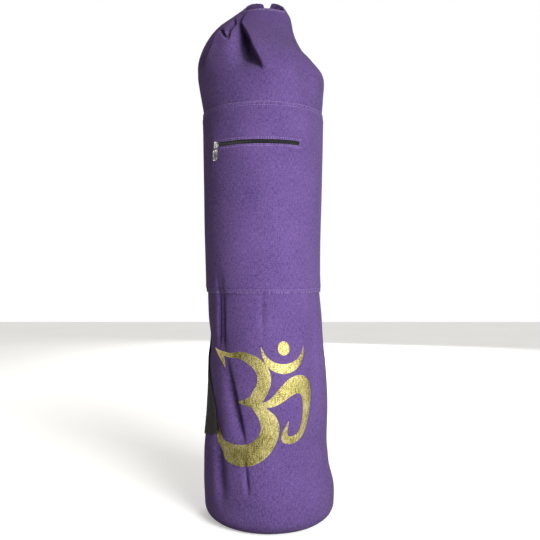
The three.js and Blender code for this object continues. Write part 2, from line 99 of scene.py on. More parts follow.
# Folds on the front, foot to head: x, depth and flanks are shares of the radius.
foldColumns = ("footX", "footHeight", "headX", "headHeight", "depth", "leftWidth", "rightWidth", "headDepth")
frontFolds = table(foldColumns, [
    (0.52, 0.795, 0.39, 0.925, 0.1, 0.025, 0.15, 0.5),
    (0.49, 0.8, 0.37, 0.935, 0.035, 0.014, 0.022, 0.8),
    (-0.8, 0.315, -0.79, 0.431, 0.06, 0.022, 0.032, 0.6),
    (-0.735, 0.31, -0.73, 0.431, 0.06, 0.022, 0.032, 0.6),
    (-0.12, 0.35, -0.12, 0.428, 0.02, 0.04, 0.05, 0.6),
    (-0.36, 0.15, -0.66, 0.31, 0.105, 0.12, 0.032, 0.1),
    (-0.5, 0.205, -0.7, 0.33, 0.022, 0.05, 0.03, 0.2),
    (-0.32, 0.07, -0.38, 0.132, 0.045, 0.05, 0.03, 0.2),
    (-0.74, 0.03, -0.84, 0.213, 0.085, 0.06, 0.085, 0.3),
    (0.7, 0.2, 0.66, 0.425, 0.045, 0.055, 0.06, 0.4),
    (0.58, 0.03, 0.72, 0.15, 0.04, 0.1, 0.07, 0.3),
])

# Tucks of the neck, whose right side hangs over the fold; every width is a share of the radius.
tuckColumns = (*foldColumns[:5], "leftAtFoot", "leftAtHead", "right", "overhang", "reach")
tucks = table(tuckColumns, [
    (-0.11, 0.815, -0.42, 0.964, 0.45, 0.46, 0.095, 0.04, 0.12, 0.3),
    (-0.69, 0.89, -0.58, 0.962, 0.15, 0.03, 0.04, 0.022, 0.035, 0.05),
    (-0.7, 0.89, -0.78, 0.962, 0.15, 0.03, 0.05, 0.022, 0.035, 0.06),
    (-1.12, 0.84, -0.86, 0.945, 0.26, 0.24, 0.14, 0.035, 0.05, 0.1),
])

# Round hollows: x, depth and width are shares of the radius.
hollows = table(("x", "height", "depth", "width", "tall"), [
    (-0.52, 0.876, 0.13, 0.2, 0.028),
    (-0.84, 0.885, 0.04, 0.16, 0.022),
    (0.6, 0.842, 0.09, 0.13, 0.028),
    (0.1, 0.12, 0.015, 0.3, 0.06),
])

# Gathers round the sides and back of the neck, by angle in degrees.
neckGathers = table(("angle", "footHeight", "depth", "width"), [
    (-82, 0.835, 0.11, 7),
    (-106, 0.845, 0.1, 7),
    (-117, 0.88, 0.04, 4),
    (-128, 0.815, 0.12, 8),
    (-141, 0.875, 0.06, 4),
    (-152, 0.83, 0.1, 7),
    (-164, 0.87, 0.07, 4),
    (171, 0.8, 0.15, 9),
    (157, 0.87, 0.06, 4),
    (146, 0.835, 0.09, 7),
    (133, 0.87, 0.06, 4),
    (121, 0.81, 0.12, 8),
    (108, 0.875, 0.05, 4),
    (97, 0.835, 0.09, 7),
])

rimDips = table(("angle", "width", "drop"), [(0, 112, 0.040), (171, 11, 0.018)])
rimStart = 0.88

# Slow waves in the cloth: turns round the bag, rises up it, phase, and size in millimetres.
waves = (
    (3, 2.3, 0.4, 0.45), (5, 4.1, 1.9, 0.35), (8, 3.2, 3, 0.22), (11, 6.7, 5.1, 0.16), (17, 9, 2.2, 0.1),
)

# How folds, gathers and waves start, fade and end.
folding = {
    "front": 0.3,  # the cosine at which the front has turned into a side
    "foldRise": 0.35,
    "foldEase": 0.55,
    "tuckRise": 0.45,
    "pastHead": 3,
    "gatherHead": 0.95,
    "gatherEase": 0.6,
    "narrowest": 0.4,
    "waveSlant": 1.7,
    "calmFoot": 0.05,
}


def smooth(t):
    s = np.clip(t, 0, 1)
    return s * s * (3 - 2 * s)


def bell(distance, width, power=2):
    return np.exp(-((distance / width) ** power))


def arcOf(angle):
    return np.radians(angle) * bag["radius"]


def turnOf(length):
    return np.degrees(length / bag["radius"])


def along(rows, key, at, name):
    keys, values = rows[key], rows[name]
    i = np.clip(np.searchsorted(keys, at) - 1, 0, len(keys) - 2)
    before, after = np.maximum(i - 1, 0), np.minimum(i + 2, len(keys) - 1)
    span = keys[i + 1] - keys[i]
    t = np.clip((at - keys[i]) / span, 0, 1)
    slopeA = (values[i + 1] - values[before]) / (keys[i + 1] - keys[before]) * span
    slopeB = (values[after] - values[i]) / (keys[after] - keys[i]) * span
    return (
        (2 * t**3 - 3 * t**2 + 1) * values[i]
        + (t**3 - 2 * t**2 + t) * slopeA
        + (3 * t**2 - 2 * t**3) * values[i + 1]
        + (t**3 - t**2) * slopeB
    )


def section(height):
    share = height / bag["height"]
    left, right, front, back = (
        along(sections, "height", share, name) * bag["radius"] for name in ("left", "right", "front", "back")
    )
    return (right - left) / 2, (back - front) / 2, (left + right) / 2, (front + back) / 2


def turnBetween(a, b):
    return (a - b + 540) % 360 - 180


# Where each point is along and across a fold, and how far the fold has opened there.
def foldPlace(row, x, share, rise):
    footX, footHeight, headX, headHeight = row[:4]
    t = (share - footHeight) / (headHeight - footHeight)
    lengthwise = smooth(t / rise) * smooth(1 - np.maximum(0, t - 1) * folding["pastHead"])
    return t, x - footX - (headX - footX) * np.clip(t, 0, 1), lengthwise


def frontFold(row, x, share):
    depth, leftWidth, rightWidth, headDepth = row[4:]
    t, right, lengthwise = foldPlace(row, x, share, folding["foldRise"])
    eased = 1 - (1 - headDepth) * smooth((t - folding["foldEase"]) / (1 - folding["foldEase"]))
    return depth * lengthwise * eased * bell(right, np.where(right < 0, leftWidth, rightWidth))


# A tuck has a flat floor that ends steeply on its left; gives its depth and its lean to the left.
def tuck(row, x, share):
    depth, leftAtFoot, leftAtHead, rightWidth, overhang, reach = row[4:]
    t, right, lengthwise = foldPlace(row, x, share, folding["tuckRise"])
    leftWidth = leftAtFoot + (leftAtHead - leftAtFoot) * np.clip(t, 0, 1)
    across = np.where(right < 0, bell(right, leftWidth, 4), bell(right, rightWidth))
    lean = overhang * lengthwise * (1 - across) * bell(right, reach) * (right > 0)
    return depth * lengthwise * across, lean


def matched(angle, height):
    return np.broadcast_arrays(np.asarray(angle, float), np.asarray(height, float))


# Outer radius of the cloth from the middle of its section. Angles are in degrees from the front.
def clothRadius(angle, height):
    angle, height = matched(angle, height)
    centreX, _, halfWidth, halfDepth = section(height)
    turn = np.radians(angle)
    s, c = np.sin(turn), np.cos(turn)
    plain = halfWidth * halfDepth / np.hypot(halfDepth * s, halfWidth * c)
    x = (centreX + plain * s) / bag["radius"]
    share = height / bag["height"]
    facing = smooth(c / folding["front"])
    fold = np.zeros_like(plain)
    for row in zip(*frontFolds.values()):
        fold += facing * frontFold(row, x, share)
    for row in zip(*tucks.values()):
        fold += facing * tuck(row, x, share)[0]
    for rowX, rowHeight, depth, width, tall in zip(*hollows.values()):
        fold += depth * facing * bell(x - rowX, width) * bell(share - rowHeight, tall)
    narrow = folding["narrowest"] + (1 - folding["narrowest"]) * plain / bag["radius"]
    head = folding["gatherHead"]
    for rowAngle, footHeight, depth, width in zip(*neckGathers.values()):
        eased = 1 - folding["gatherEase"] * smooth((share - head) / (1 - head))
        opened = smooth((share - footHeight) / (head - footHeight)) * eased
        fold += depth * opened * narrow * bell(turnBetween(angle, rowAngle), width)
    ripple = np.zeros_like(plain)
    for turns, rises, phase, size in waves:
        slant = 2 * math.pi * rises * share + folding["waveSlant"] * phase
        ripple += size * mm * np.sin(turns * turn + phase) * np.cos(slant)
    settled = smooth(share / folding["calmFoot"]) * plain / bag["radius"]
    return np.maximum(plain - fold * bag["radius"], plain * folding["narrowest"]) + ripple * settled


def rimHeight(angle, height):
    drop = sum(
        rowDrop * bell(turnBetween(angle, rowAngle), width, 4)
        for rowAngle, width, rowDrop in zip(*rimDips.values())
    )
    return height - drop * bag["height"] * smooth((height / bag["height"] - rimStart) / (1 - rimStart))


def placed(angle, radius, height, level=None):
    angle, radius, height = np.broadcast_arrays(angle, radius, height)
    centreX, centreY, _, _ = section(height)
    turn = np.radians(angle)
    x = centreX + radius * np.sin(turn)
    lean = sum(tuck(row, x / bag["radius"], height / bag["height"])[1] for row in zip(*tucks.values()))
    x = x - lean * bag["radius"] * smooth(np.cos(turn) / folding["front"])
    level = height if level is None else np.broadcast_to(level, angle.shape)
    return np.stack([x, centreY - radius * np.cos(turn), level], -1)


# Mesh building


def setUv(mesh, uv):
    layer = mesh.uv_layers.new(name="cloth")
    layer.data.foreach_set("uv", np.asarray(uv, np.float32).ravel())


def setPointUv(mesh, values):
    corners = np.zeros(len(mesh.loops), int)
    mesh.loops.foreach_get("vertex_index", corners)
    setUv(mesh, values[corners])


def meshFrom(name, points, faces):
    mesh = bpy.data.meshes.new(name)
    faces = faces if isinstance(faces, list) else faces.tolist()
    mesh.from_pydata(np.asarray(points).reshape(-1, 3).tolist(), [], faces)
    mesh.update()
    return mesh


# Rings of points joined into a skin that closes round and back on itself.
def ringMesh(name, rings, along, across):
    rows, cols = rings.shape[:2]
    j, i = np.meshgrid(np.arange(rows), np.arange(cols), indexing="ij")
    corners = [(j, i), (j, i + 1), (j + 1, i + 1), (j + 1, i)]
    faces = np.stack([(a % rows) * cols + b % cols for a, b in corners], -1).reshape(-1, 4)
    mesh = meshFrom(name, rings, faces)
    uv = np.stack([np.stack([across[a, b], along[a, b]], -1) for a, b in corners], -2)
    setUv(mesh, uv)
    return mesh


# Two matching grids, one over the other, joined along every free edge. Cells not kept are left open.
def shellMesh(name, outer, inner, across, along, keep=None, worn=None):
    rows, cols = outer.shape[:2]
    keep = np.ones((rows - 1, cols - 1), bool) if keep is None else keep
    j, i = np.nonzero(keep)
    index = lambda side, a, b: side * rows * cols + a * cols + b
    turn = [(0, 0), (0, 1), (1, 1), (1, 0)]
    faces = [np.stack([index(0, j + a, i + b) for a, b in turn], -1)]
    faces.append(np.stack([index(1, j + b, i + a) for a, b in turn], -1))
    padded = np.pad(keep, 1)
    sides = (
        (-1, 0, (0, 0), (0, 1)),
        (1, 0, (1, 1), (1, 0)),
        (0, -1, (1, 0), (0, 0)),
        (0, 1, (0, 1), (1, 1)),
    )
    for stepJ, stepI, a, b in sides:
        free = ~padded[j + 1 + stepJ, i + 1 + stepI]
        fj, fi = j[free], i[free]
        first, last = (fj + a[0], fi + a[1]), (fj + b[0], fi + b[1])
        faces.append(np.stack([index(1, *first), index(1, *last), index(0, *last), index(0, *first)], -1))
    faces = np.concatenate(faces)
    used = np.unique(faces)
    points = np.concatenate([outer.reshape(-1, 3), inner.reshape(-1, 3)])[used]
    mesh = meshFrom(name, points, np.searchsorted(used, faces))
    flat = faces % (rows * cols)
    setUv(mesh, np.stack([across.ravel()[flat], along.ravel()[flat]], -1))
    if worn is not None:
        addWorn(mesh, np.concatenate([worn.ravel(), worn.ravel()])[used])
    return mesh


# How worn each point is, from 0 to 1, for the points that the mesh kept.
def addWorn(mesh, worn):
    layer = mesh.attributes.new("worn", "FLOAT", "POINT")
    layer.data.foreach_set("value", np.asarray(worn, np.float32).ravel())


def linked(name, data):
    made = bpy.data.objects.new(name, data)
    bpy.context.scene.collection.objects.link(made)
    return made


def enter(piece, replaced=(), body="bag"):
    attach(piece, body)
    if replaced:
        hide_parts(*replaced)


def addPiece(mesh, material, replaced=(), sharp=50):
    shadeSmooth(mesh, sharp)
    mesh.materials.append(material)
    enter(linked(mesh.name, mesh), replaced)


# Swaps a piece's mesh for the one that its modifiers make.
def applyModifiers(piece):
    bpy.context.view_layer.update()
    evaluated = piece.evaluated_get(bpy.context.evaluated_depsgraph_get())
    finished = bpy.data.meshes.new_from_object(evaluated)
    piece.modifiers.clear()
    piece.data = finished
    return finished


def shadeSmooth(mesh, sharp):
    mesh.polygons.foreach_set("use_smooth", np.ones(len(mesh.polygons), bool))
    mesh.set_sharp_from_angle(angle=math.radians(sharp))
    mesh.update()


# Node helpers: inputs take a value or a socket to link from.
def add(tree, kind, inputs=None, **settings):
    made = tree.nodes.new(kind)
    for key, value in settings.items():
        setattr(made, key, value)
    for key, value in (inputs or {}).items():
        if isinstance(value, bpy.types.NodeSocket):
            tree.links.new(value, made.inputs[key])
        else:
            made.inputs[key].default_value = value
    return made


# The first output of a new node.
def out(tree, kind, inputs=None, **settings):
    return add(tree, kind, inputs, **settings).outputs[0]


def calc(tree, operation, *values):
    return out(tree, "ShaderNodeMath", dict(enumerate(values)), operation=operation)


def times(tree, a, b):
    return calc(tree, "MULTIPLY", a, b)


def ramp(tree, fac, *stops):
    made = add(tree, "ShaderNodeValToRGB", {"Fac": fac})
    elements = made.color_ramp.elements
    while len(elements) < len(stops):
        elements.new(0.5)
    for element, (position, colour) in zip(elements, stops):
        element.position = position
        element.color = colour
    return made.outputs["Color"]


def mixColours(tree, fac, a, b, blend="MIX"):
    return add(tree, "ShaderNodeMix", {0: fac, 6: a, 7: b}, data_type="RGBA", blend_type=blend).outputs[2]


def noise(tree, vector, scale, detail=2, roughness=0.5):
    inputs = {"Vector": vector, "Scale": scale, "Detail": detail, "Roughness": roughness}
    return out(tree, "ShaderNodeTexNoise", inputs)


def bump(tree, height, distance, strength, under=None):
    inputs = {"Height": height, "Distance": distance, "Strength": strength}
    return out(tree, "ShaderNodeBump", {**inputs, "Normal": under} if under else inputs)


def spread(tree, value, low, high, **source):
    return out(tree, "ShaderNodeMapRange", {"Value": value, "To Min": low, "To Max": high, **source})


def clothMap(tree):
    return out(tree, "ShaderNodeUVMap", uv_map="cloth")


def stretched(tree, vector, x, y):
    return out(tree, "ShaderNodeMapping", {"Vector": vector, "Scale": (x, y, 1)})


def newMaterial(name, **settings):
    material = bpy.data.materials.new(name)
    material.use_nodes = True
    shader = material.node_tree.nodes["Principled BSDF"]
    for key, value in settings.items():
        shader.inputs[key].default_value = value
    return material, material.node_tree


def connect(tree, **sockets):
    for key, socket in sockets.items():
        tree.links.new(socket, tree.nodes["Principled BSDF"].inputs[key])


def grey(value):
    return (value, value, value, 1)


def fromScreen(r, g, b):
    def linear(v):
        v /= 255
        return v / 12.92 if v <= 0.04045 else ((v + 0.055) / 1.055) ** 2.4

    return (linear(r), linear(g), linear(b), 1)


# Plain weave: threads one pitch apart pass over and under each other, and wander a little.
def plainWeave(tree, uv, pitch, wander=0.18):
    drift = add(tree, "ShaderNodeTexNoise", {"Vector": uv, "Scale": 0.35 / pitch, "Detail": 2})
    amount = {0: drift.outputs["Color"], 1: (wander * pitch,) * 3}
    offset = out(tree, "ShaderNodeVectorMath", amount, operation="MULTIPLY")
    moved = out(tree, "ShaderNodeVectorMath", {0: uv, 1: offset}, operation="ADD")
    parts = add(tree, "ShaderNodeSeparateXYZ", {0: moved}).outputs
    x, y = (calc(tree, "COSINE", times(tree, parts[axis], math.pi / pitch)) for axis in "XY")
    over = calc(tree, "MULTIPLY_ADD", times(tree, x, y), 0.5, 0.5)
    under = calc(tree, "SUBTRACT", 1, over)
    return calc(tree, "MAXIMUM", times(tree, times(tree, x, x), over), times(tree, times(tree, y, y), under))


canvas = {
    "pitch": 0.95 * mm,
    "light": fromScreen(117, 91, 152),
    "middle": fromScreen(103, 79, 138),
    "dark": fromScreen(82, 62, 118),
    "lint": fromScreen(176, 156, 204),
    "slubLength": 3.2,
    "warpSlub": 190,
    "weftSlub": 230,
    "mottle": 14,
    "lintGrain": 520,
    "lintAmount": 0.55,
    "wornAmount": 0.5,
    "threadBump": 0.35 * mm,
    "slubBump": 0.8 * mm,
}


def canvasMaterial():
    material, tree = newMaterial("canvas", **{
        "Roughness": 0.92, "Sheen Weight": 0.06, "Sheen Roughness": 0.5, "Specular IOR Level": 0.12,
    })
    uv = clothMap(tree)
    weave = plainWeave(tree, uv, canvas["pitch"])
    upright = stretched(tree, uv, canvas["slubLength"], 1)
    warpSlub = noise(tree, upright, canvas["warpSlub"], 4, 0.65)
    sideways = stretched(tree, uv, 1, canvas["slubLength"])
    weftSlub = noise(tree, sideways, canvas["weftSlub"], 3, 0.6)
    slub = calc(tree, "MULTIPLY_ADD", warpSlub, 0.6, times(tree, weftSlub, 0.4))
    mottle = noise(tree, uv, canvas["mottle"], 4, 0.6)
    fading = calc(tree, "MULTIPLY_ADD", mottle, 0.2, times(tree, slub, 0.8))
    base = ramp(tree, fading, (0.40, canvas["dark"]), (0.5, canvas["middle"]), (0.60, canvas["light"]))
    shade = ramp(tree, weave, (0.0, grey(0.62)), (0.55, grey(1.0)))
    threads = mixColours(tree, 0.75, base, shade, "MULTIPLY")
    specks = ramp(tree, noise(tree, upright, canvas["lintGrain"], 1), (0.69, grey(0)), (0.78, grey(1)))
    linted = mixColours(tree, times(tree, specks, canvas["lintAmount"]), threads, canvas["lint"])
    worn = add(tree, "ShaderNodeAttribute", attribute_name="worn").outputs["Fac"]
    scuffed = times(tree, worn, ramp(tree, warpSlub, (0.42, grey(0)), (0.58, grey(1))))
    colour = mixColours(tree, times(tree, scuffed, canvas["wornAmount"]), linted, canvas["lint"])
    coarse = bump(tree, slub, canvas["slubBump"], 0.8)
    connect(tree, **{"Base Color": colour, "Normal": bump(tree, weave, canvas["threadBump"], 0.7, coarse)})
    return material


# The bright foil colour is a painted highlight colour, used for painted glints.
foil = {
    "bright": fromScreen(240, 230, 170),
    "middle": fromScreen(192, 180, 106),
    "dark": fromScreen(98, 88, 36),
    "grain": 800,
    "streak": 160,
    "patch": 26,
    "bump": 0.45 * mm,
    "threadBump": 0.2 * mm,
}


def foilMaterial():
    material, tree = newMaterial("goldFoil", **{"Metallic": 1.0, "Specular IOR Level": 0.5})
    uv = clothMap(tree)
    glitter = noise(tree, uv, foil["grain"], 3, 0.75)
    streak = noise(tree, stretched(tree, uv, canvas["slubLength"], 1), foil["streak"], 4, 0.65)
    patch = noise(tree, uv, foil["patch"], 3, 0.55)
    broad = calc(tree, "MULTIPLY_ADD", streak, 0.3, times(tree, patch, 0.2))
    tone = calc(tree, "MULTIPLY_ADD", glitter, 0.5, broad)
    # The foil's colour differs at random, partly its own tone and partly painted glints, with the pale stop a
    # painted highlight.
    colour = ramp(tree, tone, (0.42, foil["dark"]), (0.5, foil["middle"]), (0.57, foil["bright"]))
    woven = bump(tree, plainWeave(tree, uv, canvas["pitch"]), foil["threadBump"], 0.6)
    connect(tree, **{
        "Base Color": colour,
        "Roughness": spread(tree, streak, 0.34, 0.6),
        "Normal": bump(tree, glitter, foil["bump"], 0.8, woven),
    })
    return material


# A material on the object's own coordinates, with a fine mottle in colour and roughness.
def plainMaterial(name, dark, light, roughness, scale, relief, **settings):
    material, tree = newMaterial(name, **settings)
    mottle = noise(tree, add(tree, "ShaderNodeTexCoord").outputs["Object"], scale, 4, 0.6)
    middle = {"From Min": 0.3, "From Max": 0.7}
    connect(tree, **{
        "Base Color": ramp(tree, mottle, (0.38, dark), (0.62, light)),
        "Roughness": spread(tree, mottle, roughness - 0.1, roughness + 0.1, **middle),
        "Normal": bump(tree, mottle, relief, 0.6),
    })
    return material


# Woven bands, on their own map: a plain weave with a little fuzz.
def wovenMaterial(name, dark, light, pitch, relief, roughness):
    material, tree = newMaterial(name, **{
        "Sheen Weight": 0.15, "Sheen Roughness": 0.5, "Specular IOR Level": 0.3,
    })
    uv = clothMap(tree)
    weave = plainWeave(tree, uv, pitch, 0.1)
    fuzz = noise(tree, uv, 0.8 / pitch, 3, 0.6)
    # Painted shade: the colour is darker in the gaps between the threads, and the fuzz varies it at random.
    tone = calc(tree, "MULTIPLY_ADD", weave, 0.6, times(tree, fuzz, 0.4))
    connect(tree, **{
        "Base Color": ramp(tree, tone, (0.2, dark), (0.75, light)),
        "Roughness": spread(tree, fuzz, roughness - 0.1, roughness + 0.1),
        "Normal": bump(tree, weave, relief, 0.8),
    })
    return material


clothFinish = canvasMaterial()
foilFinish = foilMaterial()
threadFinish = plainMaterial(
    "sewingThread", fromScreen(112, 88, 152), fromScreen(176, 152, 210), 0.7, 2500, 0.05 * mm,
)
darkThread = plainMaterial("darkThread", grey(0.005), grey(0.02), 0.7, 2500, 0.05 * mm)
coilFinish = plainMaterial("coilPlastic", grey(0.012), grey(0.035), 0.34, 1800, 0.03 * mm)
nickelFinish = plainMaterial("nickel", grey(0.52), grey(0.78), 0.26, 900, 0.02 * mm, Metallic=1.0)
tapeFinish = wovenMaterial("zipTape", grey(0.006), grey(0.03), 0.55 * mm, 0.12 * mm, 0.8)
strapFinish = wovenMaterial("strapWebbing", grey(0.004), (0.022, 0.018, 0.024, 1), 1.6 * mm, 0.45 * mm, 0.8)
print("materials made")


# Bag cloth

columnTurns = (np.arange(bag["columns"]) + 0.5) / bag["columns"] * 2 * math.pi - math.pi
columnAngles = np.degrees(columnTurns - bag["frontCrowding"] * np.sin(columnTurns))
neckFoot = bag["neckShare"] * bag["height"]
rowHeights = np.concatenate([
    np.linspace(bag["corner"], neckFoot, bag["bodyRows"], endpoint=False),
    np.linspace(neckFoot, bag["height"], bag["neckRows"]),
])
rowRadii = clothRadius(columnAngles[None, :], rowHeights[:, None])


# Radius of the finished cloth mesh, read between its rows and columns.
def clothAt(angle, height):
    angle, height = matched(angle, height)
    wrapped = (angle + 180) % 360 - 180
    i = np.clip(np.searchsorted(columnAngles, wrapped) - 1, 0, len(columnAngles) - 2)
    j = np.clip(np.searchsorted(rowHeights, height) - 1, 0, len(rowHeights) - 2)
    u = np.clip((wrapped - columnAngles[i]) / (columnAngles[i + 1] - columnAngles[i]), 0, 1)
    v = np.clip((height - rowHeights[j]) / (rowHeights[j + 1] - rowHeights[j]), 0, 1)
    low = rowRadii[j, i] * (1 - u) + rowRadii[j, i + 1] * u
    high = rowRadii[j + 1, i] * (1 - u) + rowRadii[j + 1, i + 1] * u
    return low * (1 - v) + high * v


def bagCloth():
    angles = columnAngles[None, :]
    corner, wall = bag["corner"], bag["wall"]
    bend = np.linspace(0, math.pi / 2, bag["cornerRows"], endpoint=False)[:, None]
    foot = clothRadius(angles, corner)

    def cornerRings(inset, radius, lift):
        reach = foot - inset - radius * (1 - np.sin(bend))
        return placed(angles, reach, corner, lift + radius * (1 - np.cos(bend)))

    outer = placed(angles, rowRadii, rowHeights[:, None], rimHeight(angles, rowHeights[:, None]))
    top = rowRadii[-1:]
    roll = np.linspace(0, math.pi, bag["rimRows"] + 2)[1:-1, None]
    rimLevel = rimHeight(angles, rowHeights[-1])
    level = rimLevel + wall / 2 * np.sin(roll)
    rim = placed(angles, top - wall / 2 * (1 - np.cos(roll)), bag["height"], level)
    shares = np.linspace(0, 1, bag["insideRows"]) ** bag["insideCrowding"]
    picked = np.unique(np.round(shares * (len(rowHeights) - 1)).astype(int))
    near = bag["rowsCleared"]
    lowest = [rowRadii[max(0, a - near) : a + near + 1].min(axis=0) for a in picked]
    lowest[-1] = rowRadii[-1]
    insideHeights = rowHeights[picked][:, None]
    inside = placed(angles, np.array(lowest) - wall, insideHeights, rimHeight(angles, insideHeights))
    rings = np.concatenate([
        cornerRings(0, corner, 0), outer, rim, inside[::-1], cornerRings(wall, corner - wall, wall)[::-1],
    ])
    steps = np.linalg.norm(np.diff(rings, axis=0, append=rings[:1]), axis=-1).mean(axis=1)
    along = np.concatenate([[0], np.cumsum(steps)])[:, None] * np.ones(bag["columns"] + 1)
    around = np.append(columnAngles, columnAngles[0] + 360)
    across = arcOf(around)[None, :] * np.ones((len(rings) + 1, 1))
    mesh = ringMesh("bagCloth", rings, along, across)
    edge = np.zeros(rings.shape[:2])
    rimRow = bag["cornerRows"] + len(rowHeights)
    edge[rimRow - 2 : rimRow + bag["rimRows"]] = 1
    addWorn(mesh, edge)
    addPiece(mesh, clothFinish, ("body_wall",))


bagCloth()
print("bag cloth made")


base = {"rings": (0.05, 0.25, 0.5, 0.75, 0.92, 0.98, 1.0), "sag": 0.3 * mm, "sagPower": 8}


def baseCloth():
    angles = columnAngles[None, ::2]
    shares = np.array(base["rings"])[:, None]
    reach = (clothRadius(angles, bag["corner"]) - bag["corner"] - bag["seamGap"]) * shares
    sunk = base["sag"] * shares ** base["sagPower"]
    below = placed(angles, reach, bag["corner"], base["sag"] - sunk)
    above = placed(angles, reach, bag["corner"], bag["wall"] - sunk)
    rings = np.concatenate([below, above[::-1]])
    rows, cols = rings.shape[:2]
    j, i = np.meshgrid(np.arange(rows - 1), np.arange(cols), indexing="ij")
    after = (i + 1) % cols
    quads = np.stack([j * cols + i, j * cols + after, (j + 1) * cols + after, (j + 1) * cols + i], -1)
    faces = quads.reshape(-1, 4).tolist()
    middle = placed(0, 0, bag["corner"], 0)
    tips = [middle + (0, 0, base["sag"] - sunk[0, 0]), middle + (0, 0, bag["wall"])]
    points = np.concatenate([rings.reshape(-1, 3), tips])
    for a in range(cols):
        b = (a + 1) % cols
        faces += [[rows * cols, b, a], [rows * cols + 1, (rows - 1) * cols + a, (rows - 1) * cols + b]]
    mesh = meshFrom("baseCloth", points, faces)
    setPointUv(mesh, points[:, :2])
    addPiece(mesh, clothFinish, ("base_panel",))


baseCloth()
print("base made")


# Pocket

zipper = {
    "height": 496 * mm,
    "slotHalf": 2.8 * mm,
    "leftAngle": -48,
    "rightAngle": 33.5,
    "tapeThickness": 0.6 * mm,
    "tapeWidth": 12 * mm,
    "tapeOverrun": 5 * mm,
    "tapeInnerEdge": 0.8 * mm,
    "tapeHidden": 3 * mm,
    "tapeStep": 0.6,
    "tapeRows": 9,
    "coilThickness": 1.2 * mm,
    "toothPitch": 1.3 * mm,
    "toothLength": 2.3 * mm,
    "toothWidth": 0.72 * mm,
    "coilStep": 0.4,
    "sliderAngle": -44.5,
    "postHalf": 1.8 * mm,
    "sliderInside": 1.2 * mm,
    "layerGap": 0.3 * mm,
    "seamInset": 2.6 * mm,
    "seamWidth": 0.8 * mm,
}

pocket = {
    "bottom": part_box("pocket_panel")[0][2],
    "top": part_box("pocket_panel")[1][2],
    "halfAngle": 104,
    "cloth": 1.2 * mm,
    "hem": 9 * mm,
    "puff": 1.0 * mm,
    "sideFade": 12,
    "seamInset": 5 * mm,
    "seamWidth": 0.9 * mm,
    "step": 1.9 * mm,
    "edgeRows": (0.15, 0.4, 0.8, 1.6, 4.2, 5.0, 5.8),
    "slotRows": (0.5, 1.1, 2.0, 2.6, 3.2),
    "pinch": 0.45 * mm,
    "pucker": 0.3 * mm,
    "puckerPitch": 8.5 * mm,
    "puckerShort": 5.3 * mm,
    "puckerSlant": 0.7,
    "edgeRound": 0.7 * mm,
    "edgeThin": 0.45,
    "slotLip": 0.35 * mm,
    "slotLipWidth": 1.3 * mm,
    "hemWorn": 1.2 * mm,
    "lipWorn": 1.0 * mm,
    "lipShare": 0.8,
    "threadShift": (0.31, 0.17),  # so that its threads don't line up with the bag's
}

tapeInside = zipper["sliderInside"] + zipper["layerGap"]
zipLift = tapeInside + zipper["tapeThickness"] + zipper["layerGap"]
overrunAngle = turnOf(zipper["tapeOverrun"])


def pocketEdges(angle, height):
    fromEnd = np.minimum(height - pocket["bottom"], pocket["top"] - height)
    return np.minimum(fromEnd, arcOf(pocket["halfAngle"] - np.abs(angle)))


def besideZip(angle):
    return np.maximum(angle - zipper["rightAngle"], zipper["leftAngle"] - angle)


# Distance outside the zip's slot.
def slotDistance(angle, height):
    sideways = np.maximum(arcOf(besideZip(angle)), 0)
    upright = np.maximum(np.abs(height - zipper["height"]) - zipper["slotHalf"], 0)
    return np.hypot(sideways, upright)


# How far the pocket's cloth lies off the bag: flat at its hems and lifted over the zip.
def pocketLift(angle, height):
    inside = smooth(pocketEdges(angle, height) / pocket["hem"])
    fromZip = np.maximum(0, np.abs(height - zipper["height"]) - zipper["slotHalf"] - zipper["tapeWidth"])
    beside = np.maximum(0, besideZip(angle) - overrunAngle)
    nearZip = smooth(1 - fromZip / zipper["tapeWidth"]) * smooth(1 - beside / pocket["sideFade"])
    plain = zipper["layerGap"] + pocket["puff"] * inside
    return plain + (zipLift - plain) * nearZip


def pocketOutside(angle, height):
    edge = pocketEdges(angle, height)
    bend = np.sqrt(np.clip(1 - (1 - np.clip(edge / pocket["edgeRound"], 0, 1)) ** 2, 0, 1))
    rounded = pocket["edgeThin"] + (1 - pocket["edgeThin"]) * bend
    fromSeam = edge - pocket["seamInset"]
    slot = slotDistance(angle, height)
    slotSeam = bell(slot - zipper["seamInset"], zipper["seamWidth"])
    pinched = bell(fromSeam, pocket["seamWidth"]) + 0.4 * slotSeam
    lip = bell(slot, pocket["slotLipWidth"]) * pocket["slotLip"]
    run = 2 * math.pi * (arcOf(angle) + pocket["puckerSlant"] * height)
    wave = 0.6 * np.sin(run / pocket["puckerPitch"]) + 0.4 * np.sin(run / pocket["puckerShort"] + 1.3)
    nearSeam = bell(fromSeam, pocket["seamInset"]) * smooth(edge / (2 * mm))
    thick = pocket["cloth"] * rounded - pocket["pinch"] * pinched
    return pocketLift(angle, height) + thick + lip + pocket["pucker"] * (0.5 + 0.5 * wave) * nearSeam


# Values from the first mark to the last, with every mark among them.
def spaced(marks, step):
    parts = []
    for a, b in zip(marks[:-1], marks[1:]):
        parts.append(np.linspace(a, b, max(1, round((b - a) / step)), endpoint=False))
    return np.append(np.concatenate(parts), marks[-1])


